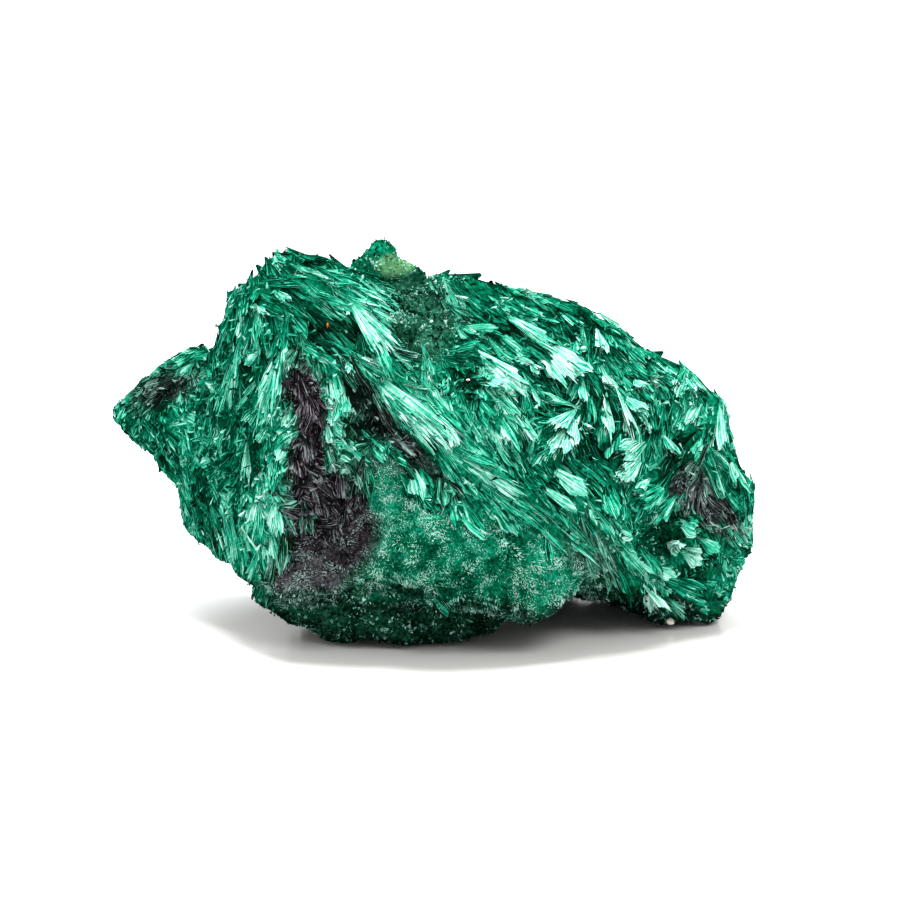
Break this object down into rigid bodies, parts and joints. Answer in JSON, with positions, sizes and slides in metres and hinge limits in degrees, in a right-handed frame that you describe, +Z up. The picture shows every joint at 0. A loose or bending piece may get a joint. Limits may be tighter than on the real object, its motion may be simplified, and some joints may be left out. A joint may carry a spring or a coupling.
{
  "type": "fibrous malachite specimen",
  "caption": "Rough malachite specimen, one natural stone with silky fans of green crystals, resting on its broken base.",
  "frame": {"origin": "middle of the stone's bounding box, at the height of the flat breaks it rests on", "axes": "+Z up, +X along the stone's length towards its blunt end, -Y out of the fibrous front"},
  "size_m": [0.0658, 0.041, 0.0378],
  "materials": {
    "malachite": "silky, fibrous"
  },
  "bodies": {
    "root": {"malachite": "malachite"}
  },
  "joints": []
}
